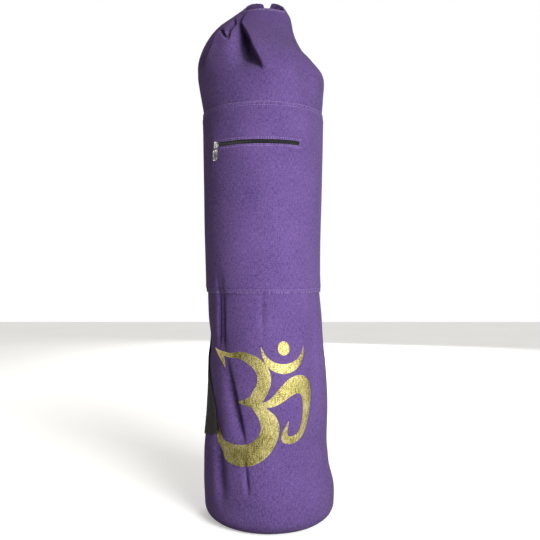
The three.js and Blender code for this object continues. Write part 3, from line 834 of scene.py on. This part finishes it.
def pocketCloth():
    half = pocket["halfAngle"]
    close = np.array(pocket["edgeRows"]) * mm
    near = turnOf(close)
    slotEnds = (zipper["leftAngle"], zipper["rightAngle"])
    sideMarks = [-half, *(-half + near), *slotEnds, *(half - near[::-1]), half]
    angles = spaced(sideMarks, turnOf(pocket["step"]))[None, :]
    slotFoot, slotHead = zipper["height"] - zipper["slotHalf"], zipper["height"] + zipper["slotHalf"]
    lip = np.array(pocket["slotRows"]) * mm
    upMarks = [
        pocket["bottom"], *(pocket["bottom"] + close), *(slotFoot - lip[::-1]), slotFoot, slotHead,
        *(slotHead + lip), *(pocket["top"] - close[::-1]), pocket["top"],
    ]
    heights = spaced(upMarks, pocket["step"])[:, None]
    radius = clothAt(angles, heights)
    outer = placed(angles, radius + pocketOutside(angles, heights), heights)
    inner = placed(angles, radius + pocketLift(angles, heights), heights)
    middleAngle = (angles[:, :-1] + angles[:, 1:]) / 2
    middleHeight = (heights[:-1] + heights[1:]) / 2
    keep = slotDistance(middleAngle, middleHeight) > 0
    across = arcOf(angles) * np.ones_like(heights) + pocket["threadShift"][0]
    along = heights * np.ones_like(angles) + pocket["threadShift"][1]
    hemWorn = np.exp(-pocketEdges(angles, heights) / pocket["hemWorn"])
    lipWorn = pocket["lipShare"] * np.exp(-slotDistance(angles, heights) / pocket["lipWorn"])
    mesh = shellMesh("pocketCloth", outer, inner, across, along, keep, np.maximum(hemWorn, lipWorn))
    addPiece(mesh, clothFinish, ("pocket_panel",), 60)


pocketCloth()
print("pocket made")


# Zip tapes


def zipTape(name, side, node):
    marks = [zipper["leftAngle"] - overrunAngle, zipper["sliderAngle"], zipper["rightAngle"] + overrunAngle]
    angles = spaced(marks, zipper["tapeStep"])[None, :]
    near = np.where(angles < zipper["sliderAngle"], zipper["postHalf"], zipper["tapeInnerEdge"])
    far = zipper["slotHalf"] + zipper["tapeWidth"] - zipper["tapeHidden"]
    shares = np.linspace(0, 1, zipper["tapeRows"])[:, None]
    reach = near + (far - near) * (shares if side > 0 else shares[::-1])
    heights = zipper["height"] + side * reach
    radius = clothAt(angles, heights)
    edge = np.clip(np.minimum(shares, 1 - shares) * (zipper["tapeRows"] - 1), 0, 1)
    thick = zipper["tapeThickness"] * (0.6 + 0.4 * edge)
    inner = placed(angles, radius + tapeInside, heights)
    outer = placed(angles, radius + tapeInside + thick, heights)
    mesh = shellMesh(name, outer, inner, arcOf(angles) * np.ones_like(shares), heights)
    addPiece(mesh, tapeFinish, (node,))


zipTape("zipTapeUpper", 1, "zip_tape_upper")
zipTape("zipTapeLower", -1, "zip_tape_lower")


# Geometry Nodes: one small rounded bead is set along a path at an even spacing.
# The path's points carry "outward", the direction away from the cloth.


beadSizes = ("Spacing", "Length", "Width", "Depth", "Tilt")


def beadTree():
    tree = bpy.data.node_groups.new("beadsAlongPath", "GeometryNodeTree")
    kinds = {"Geometry": "Geometry", **{name: "Float" for name in beadSizes}, "Finish": "Material"}
    for name, kind in kinds.items():
        tree.interface.new_socket(name, in_out="INPUT", socket_type="NodeSocket" + kind)
    tree.interface.new_socket("Geometry", in_out="OUTPUT", socket_type="NodeSocketGeometry")
    given = add(tree, "NodeGroupInput").outputs
    geo = lambda kind, inputs=None, **settings: out(tree, "GeometryNode" + kind, inputs, **settings)
    curve = geo("MeshToCurve", {"Mesh": given["Geometry"]})
    evenly = geo("ResampleCurve", {"Curve": curve, "Length": given["Spacing"]}, mode="LENGTH")
    outward = geo("InputNamedAttribute", {"Name": "outward"}, data_type="FLOAT_VECTOR")
    facing = out(tree, "FunctionNodeAxesToRotation", {
        "Primary Axis": outward, "Secondary Axis": geo("InputTangent"),
    }, primary_axis="Z", secondary_axis="X")
    turned = out(tree, "FunctionNodeRotateRotation", {
        "Rotation": facing, "Rotate By": out(tree, "ShaderNodeCombineXYZ", {"Z": given["Tilt"]}),
    }, rotation_space="LOCAL")
    size = out(tree, "ShaderNodeCombineXYZ", {0: given["Length"], 1: given["Width"], 2: given["Depth"]})
    ball = geo("MeshUVSphere", {"Segments": 8, "Rings": 6, "Radius": 0.5})
    bead = geo("Transform", {"Geometry": ball, "Scale": size})
    copies = geo("InstanceOnPoints", {"Points": evenly, "Instance": bead, "Rotation": turned})
    real = geo("RealizeInstances", {"Geometry": copies})
    smoothed = geo("SetShadeSmooth", {"Geometry": real})
    dressed = geo("SetMaterial", {"Geometry": smoothed, "Material": given["Finish"]})
    tree.links.new(dressed, add(tree, "NodeGroupOutput").inputs[0])
    return tree


beads = beadTree()


# Each path is a list of points and the outward direction at each.
def beadsOn(name, paths, sizes, finish, replaced=()):
    points = np.concatenate([p for p, _ in paths])
    outward = np.concatenate([n for _, n in paths])
    edges, start = [], 0
    for path, _ in paths:
        edges += [(start + k, start + k + 1) for k in range(len(path) - 1)]
        start += len(path)
    mesh = bpy.data.meshes.new(name)
    mesh.from_pydata(points.tolist(), edges, [])
    layer = mesh.attributes.new("outward", "FLOAT_VECTOR", "POINT")
    layer.data.foreach_set("vector", outward.astype(np.float32).ravel())
    piece = linked(name, mesh)
    modifier = piece.modifiers.new("beads", "NODES")
    modifier.node_group = beads
    values = {"Finish": finish, **dict(zip(beadSizes, sizes))}
    for item in beads.interface.items_tree:
        if item.in_out == "INPUT" and item.name in values:
            modifier[item.identifier] = values[item.name]
    applyModifiers(piece).name = name
    enter(piece, replaced)


def outwardAt(angles):
    turn = np.radians(angles)
    return np.stack([np.sin(turn), -np.cos(turn), 0 * turn], -1)


# A path on a surface that is given as a distance off the bag's cloth.
def pathOn(angles, heights, off):
    angles, heights = matched(angles, heights)
    radius = clothAt(angles, heights) + (off(angles, heights) if callable(off) else off)
    return placed(angles, radius, heights, rimHeight(angles, heights)), outwardAt(angles)


def zipTeeth(name, side, node, shift):
    step = zipper["coilStep"]
    angles = np.arange(zipper["sliderAngle"] + step, zipper["rightAngle"] - 0.3, step)
    angles = angles + shift * turnOf(zipper["toothPitch"])
    height = zipper["height"] + side * zipper["toothWidth"]
    sizes = [zipper[key] for key in ("toothPitch", "toothLength", "toothWidth", "coilThickness")]
    path = pathOn(angles, height, zipLift + zipper["coilThickness"] / 2)
    beadsOn(name, [path], (*sizes, math.pi / 2), coilFinish, (node,))


zipTeeth("zipTeethUpper", 1, "zip_coil_upper", 0.5)
zipTeeth("zipTeethLower", -1, "zip_coil_lower", 0)
print("zip made")


# Slider and pull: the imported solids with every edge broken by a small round.
hardware = {
    "edge": 0.22 * mm,
    "segments": 3,
    "merge": 0.002 * mm,
    "flat": math.radians(1),
    "bevelled": math.radians(30),
    "sharp": 35,
}


def roundedCopy(node, name, body):
    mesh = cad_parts[node].data.copy()
    shape = bmesh.new()
    shape.from_mesh(mesh)
    bmesh.ops.remove_doubles(shape, verts=shape.verts, dist=hardware["merge"])
    bmesh.ops.dissolve_limit(shape, angle_limit=hardware["flat"], verts=shape.verts, edges=shape.edges)
    shape.to_mesh(mesh)
    shape.free()
    mesh.materials.clear()
    mesh.materials.append(nickelFinish)
    piece = linked(name, mesh)
    bevel = piece.modifiers.new("edges", "BEVEL")
    bevel.width = hardware["edge"]
    bevel.segments = hardware["segments"]
    bevel.limit_method = "ANGLE"
    bevel.angle_limit = hardware["bevelled"]
    shadeSmooth(applyModifiers(piece), hardware["sharp"])
    enter(piece, (node,), body)


roundedCopy("zip_slider", "sliderBody", "bag")
roundedCopy("zip_pull", "sliderPull", "pull")
print("slider made")


# Shoulder strap

strap = {
    "width": 38 * mm,
    "thickness": 2 * mm,
    "seat": 0.8 * mm,
    "steps": 220,
    "across": 24,
    "ribPitch": 3.2 * mm,
    "ribDepth": 0.22 * mm,
    "selvedge": 1.6 * mm,
    "foldLength": 26 * mm,
    "foldExtra": 0.25 * mm,
    "bridged": range(-8, 9, 2),
    "stitchInset": 3.5 * mm,
    "stitchSunk": 0.05 * mm,
    "endGap": 1 * mm,
    "stitchPoints": 20,
}

strapRoute = table(("angle", "height", "standOff"), [
    (-63, 0.166, 0),
    (-67, 0.2, 0),
    (-79, 0.245, 0),
    (-98, 0.29, 0.004),
    (-118, 0.35, 0.04),
    (-132, 0.44, 0.15),
    (-144, 0.57, 0.26),
    (-150, 0.68, 0.24),
    (-152, 0.78, 0.11),
    (-152, 0.85, 0.025),
    (-152, 0.895, 0),
    (-152, 0.925, 0),
])
lastStep = len(strapRoute["angle"]) - 1
strapRoute["step"] = np.arange(lastStep + 1.0)


# Angle, height and clearance of points across the strap at a step of its route.
def strapPoint(step, across):
    read = lambda at, name: along(strapRoute, "step", at, name)
    after, before = np.minimum(lastStep, step + 0.1), np.maximum(0, step - 0.1)
    rise = (read(after, "height") - read(before, "height")) * bag["height"]
    sweep = arcOf(read(after, "angle") - read(before, "angle"))
    lean = np.arctan2(sweep, rise)
    angle = read(step, "angle") + turnOf(across * np.cos(lean))
    height = read(step, "height") * bag["height"] - across * np.sin(lean)
    clear = np.maximum(0, read(step, "standOff")) * bag["radius"] + strap["seat"]
    return angle, height, clear


def bridgedRadius(angle, height):
    return np.max([clothAt(angle + turn, height) for turn in strap["bridged"]], axis=0)


def strapSurface(step, across, lift):
    angle, height, clear = strapPoint(step, across)
    return placed(angle, bridgedRadius(angle, height) + clear + lift, height), angle


def shoulderStrap():
    steps = np.linspace(0, lastStep, strap["steps"])[:, None]
    half = strap["width"] / 2
    offsets = half * np.sin(np.linspace(-math.pi / 2, math.pi / 2, strap["across"]))[None, :]
    middle, _ = strapSurface(steps, np.zeros_like(offsets), 0)
    length = np.append(0, np.cumsum(np.linalg.norm(np.diff(middle[:, 0], axis=0), axis=-1)))[:, None]
    edge = np.clip((half - np.abs(offsets)) / strap["selvedge"], 0, 1)
    plump = 0.5 + 0.5 * np.sqrt(1 - (1 - edge) ** 2)
    ribs = strap["ribDepth"] * np.cos(2 * math.pi * offsets / strap["ribPitch"]) * (edge >= 1)
    folded = np.minimum(length, length[-1] - length) < strap["foldLength"]
    thick = strap["thickness"] * plump - strap["ribDepth"] + ribs - strap["foldExtra"] * (1 - folded)
    outer, _ = strapSurface(steps, offsets, thick)
    inner, _ = strapSurface(steps, offsets, 0 * offsets)
    mesh = shellMesh("strapWebbing", outer, inner, offsets + 0 * length, length + 0 * offsets)
    addPiece(mesh, strapFinish, ("shoulder_strap",), 60)
    return length[:, 0]


strapLengths = shoulderStrap()
print("strap made", round(float(strapLengths[-1]), 4))


# Gold print: strokes of changing width on the front, below the pocket. Millimetres round the
# cloth from the middle of the front, above the print's middle, and half the stroke's width.
gold = {
    "middle": 172 * mm,
    "reach": 100 * mm,
    "cell": 0.7 * mm,
    "inside": 0.06 * mm,
    "outside": 0.22 * mm,
    "finer": 8,
    "cornerGap": 0.04,
}

strokes = {
    "upperArch": (
        (-79, 56, 2.2), (-57, 53.5, 2.8), (-39, 55, 4.2), (-25.5, 51.5, 6.2), (-14.5, 45.5, 7.4),
        (-6.8, 36.5, 8.4), (-4.4, 25.5, 8.8), (-7.2, 14.2, 8.5), (-13, 4.4, 8.7), (-17.5, -2.5, 8.0),
    ),
    "startSerif": ((-90, 60, 0.4), (-78, 54, 3.2), (-69, 47, 3.2), (-64, 37, 0.4)),
    "waist": ((-15.5, -2.6, 8.0), (-24.5, -3.3, 5.6), (-33, -3.8, 2.8), (-42, -4.6, 0.4)),
    "lowerBowl": (
        (-13, -8.6, 7.0), (-4.8, -18.4, 8.2), (1.8, -27.7, 11), (4, -39.5, 12), (-0.2, -52.8, 12.8),
        (-9.6, -63.6, 13.4), (-22.6, -69.8, 13.5), (-38, -70.8, 13), (-54.5, -67, 11), (-69, -58, 6.9),
        (-76.8, -44, 2.8), (-81, -30, 0.4),
    ),
    "tail": (
        (-13, -6.8, 2.6), (-4.4, -6.3, 3.5), (5.2, -3.4, 5.3), (14.8, 3, 7.2), (25, 11.4, 9),
        (36.3, 17.6, 10.8), (47, 17.2, 11.4), (53.2, 8, 8.8), (54, -3.4, 6.8), (53, -17, 5.4),
        (51, -30, 4.7), (47.4, -41.4, 4.4), (41, -48.8, 4.7), (32.4, -51.6, 4.9), (25, -49.6, 5.0),
        (23.2, -44.5, 3.9), (24.6, -37, 2.3), (27.4, -27.6, 0.4),
    ),
    "crescent": (
        (-8, 66, 0.4), (-4.4, 55, 2.3), (2.4, 46, 4.2), (11.6, 40.4, 5.6), (22, 38.4, 6.1),
        (32.4, 40.4, 5.6), (41.6, 46, 4.2), (48.4, 55, 2.3), (52, 66, 0.4),
    ),
    "dot": ((22, 63, 7.6), (22, 65.5, 7.6)),
}


# Signed distance to a stroke: negative inside it.
def strokeDistance(points, x, y):
    nearest = np.full(x.shape, 1.0)
    fine = np.array(points) * mm
    last = len(fine) - 1
    rows = {"at": np.arange(last + 1.0), "x": fine[:, 0], "y": fine[:, 1], "w": fine[:, 2]}
    if last > 1:
        at = np.linspace(0, last, gold["finer"] * last + 1)
        fine = np.stack([along(rows, "at", at, name) for name in "xyw"], -1)
    for a, b in zip(fine[:-1], fine[1:]):
        dx, dy = b[0] - a[0], b[1] - a[1]
        t = np.clip(((x - a[0]) * dx + (y - a[1]) * dy) / (dx * dx + dy * dy), 0, 1)
        away = np.hypot(x - a[0] - t * dx, y - a[1] - t * dy) - (a[2] + (b[2] - a[2]) * t)
        nearest = np.minimum(nearest, away)
    return nearest


# The part of each grid cell that lies inside the strokes, as one polygon.
def cutCells(distance, spots):
    seen, points, faces = {}, [], []

    def corner(key, spot):
        if key not in seen:
            seen[key] = len(points)
            points.append(spot)
        return seen[key]

    gap = gold["cornerGap"]
    inside = distance < 0
    some = inside[:-1, :-1] | inside[1:, :-1] | inside[:-1, 1:] | inside[1:, 1:]
    for j, i in zip(*np.nonzero(some)):
        loop = []
        ring = ((j, i), (j, i + 1), (j + 1, i + 1), (j + 1, i))
        for k in range(4):
            a, b = ring[k], ring[(k + 1) % 4]
            if inside[a]:
                loop.append(corner(a, spots[a]))
            if inside[a] != inside[b]:
                low, high = min(a, b), max(a, b)
                t = np.clip(distance[low] / (distance[low] - distance[high]), gap, 1 - gap)
                loop.append(corner((low, high), spots[low] * (1 - t) + spots[high] * t))
        if len(loop) > 2:
            faces.append(loop)
    return np.array(points), faces


def goldPrint():
    reach, cell = gold["reach"], gold["cell"]
    steps = np.arange(-reach, reach, cell)
    x, y = np.meshgrid(steps, steps)
    distance = np.min([strokeDistance(points, x, y) for points in strokes.values()], axis=0)
    flat, faces = cutCells(distance, np.stack([x, y], -1))
    angles, heights = turnOf(flat[:, 0]), gold["middle"] + flat[:, 1]
    radius = clothAt(angles, heights)
    upper = placed(angles, radius + gold["outside"], heights)
    lower = placed(angles, radius + gold["inside"], heights)
    count = len(flat)
    sides = {pair: True for loop in faces for pair in zip(loop, loop[1:] + loop[:1])}
    walls = [[b, a, a + count, b + count] for a, b in sides if (b, a) not in sides]
    below = [[v + count for v in reversed(loop)] for loop in faces]
    mesh = meshFrom("goldPrint", np.concatenate([upper, lower]), faces + below + walls)
    setPointUv(mesh, np.concatenate([flat, flat]))
    addPiece(mesh, foilFinish, sharp=60)


goldPrint()
print("print made")


# Stitches

stitch = {
    "pitch": 3.1 * mm,
    "length": 2.3 * mm,
    "width": 0.5 * mm,
    "depth": 0.42 * mm,
    "sunk": 0.02 * mm,
    "sideGap": 2 * mm,
    "slotGap": 0.6 * mm,
    "neckArc": (80, 286),
    "neckDrop": 17 * mm,
    "backDrop": 22 * mm,
    "backTurn": 2.4,
    "sidePoints": 160,
    "endPoints": 12,
    "backPoints": 300,
    "neckPoints": 207,
}
stitchSizes = (stitch["pitch"], stitch["length"], stitch["width"], stitch["depth"], 0.0)


def arcAngles(start, end):
    return np.linspace(start, end, round(end - start))


def seamPaths():
    inset = pocket["seamInset"]
    half = pocket["halfAngle"] - turnOf(inset)
    low, high = pocket["bottom"] + inset, pocket["top"] - inset
    sides = np.linspace(low + stitch["sideGap"], high - stitch["sideGap"], stitch["sidePoints"])
    turn = turnOf(zipper["seamInset"])
    left, right = zipper["leftAngle"] - turn, zipper["rightAngle"] + turn
    reach = zipper["slotHalf"] + zipper["seamInset"]
    ends = np.linspace(-1, 1, stitch["endPoints"]) * (reach - stitch["slotGap"]) + zipper["height"]
    onPocket = [
        *((arcAngles(-half, half), height) for height in (low, high)),
        *((side, sides) for side in (-half, half)),
        *((arcAngles(left, right), zipper["height"] + rise) for rise in (-reach, reach)),
        *((angle, ends) for angle in (left, right)),
    ]
    back = np.linspace(bag["corner"], bag["height"] - stitch["backDrop"], stitch["backPoints"])
    onCloth = [
        (np.linspace(*stitch["neckArc"], stitch["neckPoints"]), bag["height"] - stitch["neckDrop"]),
        *((180 + turn, back) for turn in (-stitch["backTurn"], stitch["backTurn"])),
    ]
    paths = [pathOn(*place, lambda a, h: pocketOutside(a, h) - stitch["sunk"]) for place in onPocket]
    return paths + [pathOn(*place, -stitch["sunk"]) for place in onCloth]


# A box with a cross inside it at each sewn end of the strap.
def strapStitches():
    inset = strap["stitchInset"]
    half = strap["width"] / 2 - inset
    lift = strap["thickness"] - strap["stitchSunk"]
    paths = []
    reach = strap["foldLength"]
    for start in (inset, strapLengths[-1] - reach + strap["endGap"]):
        end = start + reach - 2 * inset
        corners = [(start, -half), (start, half), (end, half), (end, -half), (start, -half), (end, half)]
        lines = [*zip(corners[:-1], corners[1:]), ((start, half), (end, -half))]
        for (a, u), (b, v) in lines:
            t = np.linspace(0.02, 0.98, strap["stitchPoints"])
            step = np.interp(a + (b - a) * t, strapLengths, np.linspace(0, lastStep, strap["steps"]))
            points, angle = strapSurface(step, u + (v - u) * t, lift)
            paths.append((points, outwardAt(angle)))
    return paths


beadsOn("seamStitches", seamPaths(), stitchSizes, threadFinish)
beadsOn("strapStitches", strapStitches(), stitchSizes, darkThread)
print("stitches made")


# Floor, light and camera

studio = {
    "floor": 6.0,
    "lens": 39.53,
    "sensor": 36,
    "camera": (0.0, -0.825, 0.335),
    "worldFill": 0.13,
    "floorBounce": 0.22,
    "floorGlow": 0.4,
}


def stageFloor():
    half = studio["floor"] / 2
    corners = [(-half, -half, 0), (half, -half, 0), (half, half, 0), (-half, half, 0)]
    mesh = meshFrom("studioFloor", corners, [[0, 1, 2, 3]])
    material, tree = newMaterial("paleFloor", **{"Roughness": 0.9, "Specular IOR Level": 0.0})
    place = add(tree, "ShaderNodeTexCoord").outputs["Object"]
    pale = ramp(tree, noise(tree, place, 3, 3), (0.3, grey(0.88)), (0.7, grey(0.91)))
    seen = out(tree, "ShaderNodeLightPath")
    connect(tree, **{
        "Base Color": mixColours(tree, seen, grey(studio["floorBounce"]), pale),
        "Emission Color": pale,
        "Emission Strength": times(tree, seen, studio["floorGlow"]),
    })
    mesh.materials.append(material)
    linked("studioFloor", mesh)


def addLight(name, kind, place, target, strength, colour, **shape):
    light = bpy.data.lights.new(name, kind)
    light.energy, light.color = strength, colour
    for key, value in shape.items():
        setattr(light, key, value)
    holder = linked(name, light)
    holder.location = place
    holder.rotation_euler = (Vector(target) - Vector(place)).to_track_quat("-Z", "Y").to_euler()


def softBox(name, place, target, size, watts, colour):
    shape = {"shape": "RECTANGLE", "size": size[0], "size_y": size[1]}
    addLight(name, "AREA", place, target, watts, colour, **shape)


def farLight(name, azimuth, elevation, strength, spread, colour):
    turn, rise = math.radians(azimuth), math.radians(elevation)
    away = (math.sin(turn) * math.cos(rise), -math.cos(turn) * math.cos(rise), math.sin(rise))
    addLight(name, "SUN", Vector(away) * 2, (0, 0, 0), strength, colour, angle=math.radians(spread))


stageFloor()
farLight("keyLight", 38, 28, 2.0, 24, (1.0, 0.985, 0.97))
softBox("nearLight", (0.27, -0.57, 0.36), (0, 0, 0.35), (0.3, 0.3), 3.8, (0.97, 0.975, 1.0))
softBox("sideFill", (-1.35, 0.45, 0.3), (0, 0, 0.3), (0.8, 0.6), 4, (1.0, 0.96, 0.9))
softBox("backFill", (0.35, 1.7, 0.8), (0, 0, 0.36), (1.2, 1.2), 20, (1.0, 0.98, 0.96))
softBox("frontFill", (-0.5, -1.8, 0.7), (0, 0, 0.36), (0.9, 1.2), 3, (1.0, 0.95, 0.85))


def whiteWorld():
    world = bpy.data.worlds.new("whiteStudio")
    bpy.context.scene.world = world
    world.use_nodes = True
    tree = world.node_tree
    tree.nodes.clear()
    seen = out(tree, "ShaderNodeBackground", {"Color": grey(1.0), "Strength": 1.0})
    fill = out(tree, "ShaderNodeBackground", {"Color": (1.0, 0.92, 0.74, 1), "Strength": studio["worldFill"]})
    byCamera = out(tree, "ShaderNodeLightPath")
    mixed = out(tree, "ShaderNodeMixShader", {0: byCamera, 1: fill, 2: seen})
    tree.links.new(mixed, add(tree, "ShaderNodeOutputWorld").inputs[0])


whiteWorld()
bpy.context.scene.view_settings.view_transform = "Standard"

camera = bpy.data.cameras.new("camera")
camera.lens = studio["lens"]
camera.sensor_width = studio["sensor"]
camera.clip_start = 0.01
cameraHolder = linked("camera", camera)
cameraHolder.location = studio["camera"]
cameraHolder.rotation_euler = (math.pi / 2, 0, 0)
bpy.context.scene.camera = cameraHolder
print("studio made")
